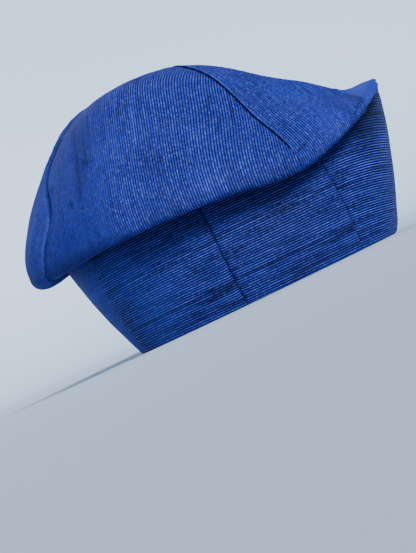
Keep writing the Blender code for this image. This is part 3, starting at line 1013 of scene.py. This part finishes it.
# Band seams in the order of the azimuth, the last the first again: the azimuth at the rim and at the
# top, how far the line bows between them, and the depth of its groove.
bandSeams = (
    (-15.0, -16.0, 0.0, 0.6),
    (46.0, 54.5, 3.6, 0.3),
    (98.5, 97.0, 0.0, 0.95),
    (177.0, 177.0, 0.0, 0.6),
    (236.0, 234.0, 0.0, 0.8),
    (290.0, 288.0, 0.0, 0.8),
    (345.0, 344.0, 0.0, 0.6),
)

# Band strips: the number of the seam that each starts at, how far its cords are shifted, how far
# they droop in the middle, and a seed.
stripColumns = ("seam", "shift", "droop", "seed")
stripRows = {
    "band_side_right": (1, 0.2, 0.0, 0.4),
    "band_back_right": (2, 0.9, 0.0, 1.9),
    "band_back_left": (3, 0.5, 0.0, 3.3),
    "band_side_left": (4, 1.3, 0.0, 4.6),
    "band_front_left": (5, 0.1, 0.0, 5.2),
    "band_front_right": (0, 0.7, 4.5, 6.6),
}

# The band's form: its grid, its slope, the dip of its top edge behind the front tip, the rows' even
# part, its swell, its hem, the tuck of the hem at the front, and how the cloth's slack fades.
bandShape = {
    "samples": 5,
    "columns": 49,
    "innerColumns": 4,
    "fullTop": 102.0,
    "slant": 1.04,
    "usualRadius": 100,
    "tipDip": 3.6,
    "tipDipAt": (33, 11),
    "evenPastFold": 2,
    "evenBelowTop": 3,
    "droops": (50, 16),
    "swell": 3.4,
    "swellStops": 0.12,
    "waver": 0.25,
    "waverLength": 23,
    "slack": 0.7,
    "slackFrom": (4, 25),
    "slackTo": (90, 60),
    "grooveWidth": 0.9,
    "hemRadius": 1.2,
    "hemInside": 0.6,
    "uprightBelow": (0.5, 4.0),
    "frontTuck": 2.4,
    "frontTuckHeight": 9.0,
    "frontNarrow": 6,
    "sunk": 0.3,
    "flattest": 0.2,
    "innerShare": 0.5,
}

# The band's marks. Under the fold is painted shadow, reaching further below the front tip, and
# on the side lies painted shade. At the back the rib is pressed flat and given painted shade, and
# beside that painted light; the hem is rubbed paler. A pair is the centre and the width of a bell
# over azimuth, or the two ends of an ease.
bandMarks = {
    "tip": (29, 13),
    "reach": 11,
    "tipReach": 34,
    "foldAbove": 1,
    "tipBelow": 9,
    "dark": 0.55,
    "tipDark": 0.55,
    "side": (74, 14),
    "sideDark": 0.3,
    "smoothFrom": 144.5,
    "smoothSlant": 0.18,
    "smoothLevel": 65,
    "smoothEdge": (-2, 5),
    "smoothEnds": (190, 176),
    "smooth": 0.95,
    "smoothDark": 0.5,
    "paler": (134, 10),
    "backPaintedLight": 0.6,
    "hemWear": 1.4,
}


def hump(share):
    # A parabola over 0 to 1 that peaks at one.
    return 4 * share * (1 - share)


def quarterRound(z, tall):
    # 1 at the foot and 0 from this height up, along a quarter of a circle.
    return 1 - np.sqrt(1 - np.clip(1 - z / tall, 0, 1) ** 2)


def gridNormal(points):
    # Unit normals of a grid, column step across row step.
    normal = np.cross(np.gradient(points, axis=0), np.gradient(points, axis=1))
    return normal / np.maximum(np.linalg.norm(normal, axis=-1, keepdims=True), 1e-9)


def stripMiddle(strip, seams):
    # A strip's rows, its azimuths in degrees, its heights, the fold's low line and its middle surface:
    # the cone with a swell, a parabola over the height. Rows at even heights follow the cords round
    # the band; above the fold's low line, which hides them, they close up to the band's edge. A seam's
    # bow is the level squared times what is left of it, 27/4 times so that it peaks at one.
    full, samples = bandShape["fullTop"], bandShape["samples"]
    count = int(np.ceil(full * bandShape["slant"] / cloth["pitch"]) * samples) + 1
    height = np.linspace(0, full, count)[:, None]
    level = height / full
    bow = 27 / 4 * level**2 * (1 - level)
    start, end = (
        np.radians(seam[0] + (seam[1] - seam[0]) * level + seam[2] * bow)
        for seam in seams
    )
    share = np.linspace(0, 1, bandShape["columns"])
    azimuth = start * (1 - share) + end * share
    azimuth = azimuth + np.arcsin(seamGap / 2 / bandShape["usualRadius"]) * (1 - 2 * share)
    degrees = np.degrees(azimuth)
    section = roundTable(azimuth)
    top = section["edgeZ"] - bandShape["tipDip"] * bell(degrees, *bandShape["tipDipAt"])
    foldLow = section["foldZ"] - section["roll"]
    even = np.minimum(foldLow + bandShape["evenPastFold"], top - bandShape["evenBelowTop"])
    z = np.where(height < even, height, even + (height - even) * (top - even) / (full - even))
    z = z - strip["droop"] * ease(degrees, *bandShape["droops"]) * hump(z / top)
    swell = bandShape["swell"] * hump(z / top) * ease(1 - z / top, 0, bandShape["swellStops"])
    middle = roundApex(coneRadius(azimuth, z) + swell, azimuth, z)
    return height, degrees, z, foldLow, middle


def stripMarks(degrees, z, foldLow):
    # The material's marks over a strip, worked out from bandMarks.
    look = bandMarks
    # Painted shadow under the fold, deeper below the front tip, then painted shade on the side.
    atTip = bell(degrees, *look["tip"])
    lowest = foldLow - look["reach"] - look["tipReach"] * atTip
    highest = foldLow + look["foldAbove"] - look["tipBelow"] * atTip
    underFold = ease(z, lowest, highest) * (look["dark"] + look["tipDark"] * atTip)
    underFold = underFold + look["sideDark"] * bell(degrees, *look["side"]) * (1 - underFold)
    # The pressed smooth patch at the back, with painted shade over it.
    fromEdge = degrees - look["smoothFrom"] - look["smoothSlant"] * (look["smoothLevel"] - z)
    smooth = ease(fromEdge, *look["smoothEdge"]) * ease(degrees, *look["smoothEnds"])
    # Wear at the hem and painted light on the back beside the smooth patch; then the painted shade.
    wear = bell(z, 0, look["hemWear"]) + look["backPaintedLight"] * bell(degrees, *look["paler"]) * (1 - underFold)
    shade = underFold + look["smoothDark"] * smooth * (1 - underFold)
    return {"wear": wear, "crisp": 1 - look["smooth"] * smooth, "shade": shade}


def stripSurface(strip):
    # A strip's two faces: the middle surface moved along its normal by the cords, the slack and the
    # seams' grooves, in at the hem by a quarter round, and in at the foot of the front.
    shapes, seed = bandShape, strip["seed"]
    seams = bandSeams[strip["seam"] : strip["seam"] + 2]
    height, degrees, z, foldLow, middle = stripMiddle(strip, seams)
    marks = stripMarks(degrees, z, foldLow)
    normal = gridNormal(middle)
    normal[..., 2] *= ease(z, *shapes["uprightBelow"])
    run = np.cumsum(np.linalg.norm(np.diff(middle, axis=1, prepend=middle[:, :1]), axis=-1), axis=1)
    fromSeams = (run, run[:, -1:] - run)
    waver = shapes["waver"] * np.sin(run / shapes["waverLength"] + seed)
    across = height * shapes["slant"] + strip["shift"] + waver
    slack = shapes["slack"] * ease(z, *shapes["slackFrom"]) * ease(z, *shapes["slackTo"])
    shape = softDents(middle, seed) * slack
    for seam, distance in zip(seams, fromSeams):
        shape = shape - seam[3] * bell(distance, 0, shapes["grooveWidth"])
    flatness = shapes["flattest"] + (1 - shapes["flattest"]) * marks["crisp"]
    cords = cordHeight(across, run, np.minimum(*fromSeams), seed) * flatness * ease(z, 0, shapes["hemRadius"])
    hem = shapes["hemRadius"] * quarterRound(z, shapes["hemRadius"])
    front = np.clip(np.cos(np.radians(degrees)), 0, 1) ** shapes["frontNarrow"]
    tuck = shapes["frontTuck"] * front * quarterRound(z, shapes["frontTuckHeight"])
    outer = middle + (cords - shapes["sunk"] + shape - hem - tuck)[..., None] * normal
    inside = shapes["innerShare"] * shape + shapes["hemInside"] * hem - tuck - hat["bandWall"]
    inner = middle + inside[..., None] * normal
    for face in (outer, inner):
        face[..., 2] = np.maximum(face[..., 2], 0)
    size = (float(run[:, -1].max()) * mm, shapes["fullTop"] * shapes["slant"] * mm)
    upright = np.linalg.norm(np.diff(middle, axis=0), axis=-1)[:, 1:]
    area = float((np.diff(run, axis=1)[:-1] * upright).sum()) * mm * mm
    return outer, inner, np.stack([across, run], -1), marks, size, min(area, size[0] * size[1])


for name, row in stripRows.items():
    outer, inner, flat, marks, size, area = stripSurface(dict(zip(stripColumns, row)))
    # Columns run towards larger azimuth and rows upwards, so the rows are turned over to face out.
    outer, inner, flat = outer[::-1], inner[::-1], flat[::-1]
    marks = {mark: grid[::-1] for mark, grid in marks.items()}
    coarse = (bandShape["samples"], bandShape["innerColumns"])
    piece = addCloth(name, outer, inner, flat, marks, coarse, bandCloth)
    print(name, "flat", [round(v, 3) for v in size], "area", round(area, 4))

# A seamless paper sweep all round: a flat floor that curves up into a wall. Sizes are in metres.
studio = {
    "floorRadius": 3.5,
    "floorRings": 8,
    "middleRadius": 0.3,
    "curveRadius": 1.3,
    "curveRings": 24,
    "wallHeight": 1.85,
    "columns": 120,
    "lampDistance": 1.5,
    "paper": "#a7bbd5",
    "roughness": 0.9,
    "specular": 0.1,
    "air": "#bdd0ec",
    "airStrength": 0.12,
}


def mattPaper():
    # Background paper: uncoated, pale and matt, with next to no gloss.
    material = bpy.data.materials.new("mattPaper")
    material.use_nodes = True
    shader = material.node_tree.nodes["Principled BSDF"]
    shader.inputs["Base Color"].default_value = linear(studio["paper"])
    shader.inputs["Roughness"].default_value = studio["roughness"]
    shader.inputs["Specular IOR Level"].default_value = studio["specular"]
    return material


def paperSweep():
    # A turned profile: rings on the floor, a quarter circle, and a straight wall.
    floor, curve = studio["floorRadius"], studio["curveRadius"]
    turn = np.linspace(0, np.pi / 2, studio["curveRings"] + 1)[1:]
    rings = np.linspace(studio["middleRadius"], floor, studio["floorRings"])
    radius = np.concatenate([[0.0], rings, floor + curve * np.sin(turn), [floor + curve]])
    height = np.concatenate([0 * rings, [0.0], curve * (1 - np.cos(turn)), [studio["wallHeight"]]])
    around = np.arange(studio["columns"]) * 2 * np.pi / studio["columns"]
    x, y = radius[:, None] * np.cos(around), radius[:, None] * np.sin(around)
    points = np.stack([x, y, height[:, None] + 0 * around], -1)
    index = np.arange(x.size).reshape(x.shape)
    beside = np.roll(index, -1, axis=1)
    quads = np.stack([index[:-1], index[1:], beside[1:], beside[:-1]], -1)[1:].reshape(-1, 4)
    fan = np.stack([0 * index[1], index[1], beside[1]], -1)
    mesh = bpy.data.meshes.new("paperSweep")
    mesh.from_pydata(points.reshape(-1, 3).tolist(), [], fan.tolist() + quads.tolist())
    mesh.polygons.foreach_set("use_smooth", np.ones(len(mesh.polygons), bool))
    mesh.materials.append(mattPaper())
    sweep = bpy.data.objects.new("paperSweep", mesh)
    bpy.context.scene.collection.objects.link(sweep)


paperSweep()

# Broad, far softboxes: the way towards each, how wide it looks in degrees, its strength and colour.
lights = {
    "key": {"towards": (0.33, -0.8, 0.46), "width": 22.0, "strength": 8.0, "colour": "#fffaf4"},
    "low": {"towards": (-0.8, -0.6, 0.44), "width": 20.0, "strength": 1.1, "colour": "#ffffff"},
    "top": {"towards": (0.15, 0.1, 1.0), "width": 60.0, "strength": 0.4, "colour": "#ffffff"},
    "back": {"towards": (-0.35, 0.7, 0.75), "width": 50.0, "strength": 1.0, "colour": "#e8f0ff"},
}


def addLight(name, light):
    # A lamp of parallel light, blurred by its width, that looks back along its way.
    data = bpy.data.lights.new(name, "SUN")
    data.angle = np.radians(light["width"])
    data.energy = light["strength"]
    data.color = linear(light["colour"])[:3]
    lamp = bpy.data.objects.new(name, data)
    lamp.location = Vector(light["towards"]) * studio["lampDistance"]
    lamp.rotation_euler = Vector(light["towards"]).to_track_quat("Z", "Y").to_euler()
    bpy.context.scene.collection.objects.link(lamp)


for name, light in lights.items():
    addLight(name, light)

world = bpy.data.worlds.new("studioAir")
world.use_nodes = True
background = world.node_tree.nodes["Background"]
background.inputs["Color"].default_value = linear(studio["air"])
background.inputs["Strength"].default_value = studio["airStrength"]
bpy.context.scene.world = world
print("studio", "lights", len(lights))

# The camera stands 10 mm above the floor, level with the rim, and is rolled as the photo's hat leans.
view = {
    "target": (-35.0, 0.0, 30.0),
    "distance": 885.0,
    "height": 10.0,
    "roll": 25.6,
    "lens": 80.0,
    "sensor": 36.0,
    "nearest": 10.0,
}


def addCamera():
    # The camera looks along +Y at the target from this distance and height, then turns by the roll.
    target = np.array(view["target"]) + hat["origin"]
    rise = np.arcsin((view["height"] - view["target"][2]) / view["distance"])
    back = np.array([0.0, -np.cos(rise), np.sin(rise)])
    right = np.cross(-back, (0.0, 0.0, 1.0))
    right = right / np.linalg.norm(right)
    up = np.cross(right, -back)
    roll = np.radians(view["roll"])
    turnedRight = np.cos(roll) * right - np.sin(roll) * up
    turnedUp = np.sin(roll) * right + np.cos(roll) * up
    data = bpy.data.cameras.new("camera")
    data.lens = view["lens"]
    data.sensor_width = view["sensor"]
    data.clip_start = view["nearest"] * mm
    camera = bpy.data.objects.new("camera", data)
    axes = Matrix(np.stack([turnedRight, turnedUp, back], 1).tolist()).to_4x4()
    camera.matrix_world = Matrix.Translation(((target + view["distance"] * back) * mm).tolist()) @ axes
    bpy.context.scene.collection.objects.link(camera)
    bpy.context.scene.camera = camera
    print("camera at", [round(v, 3) for v in camera.matrix_world.translation])


addCamera()
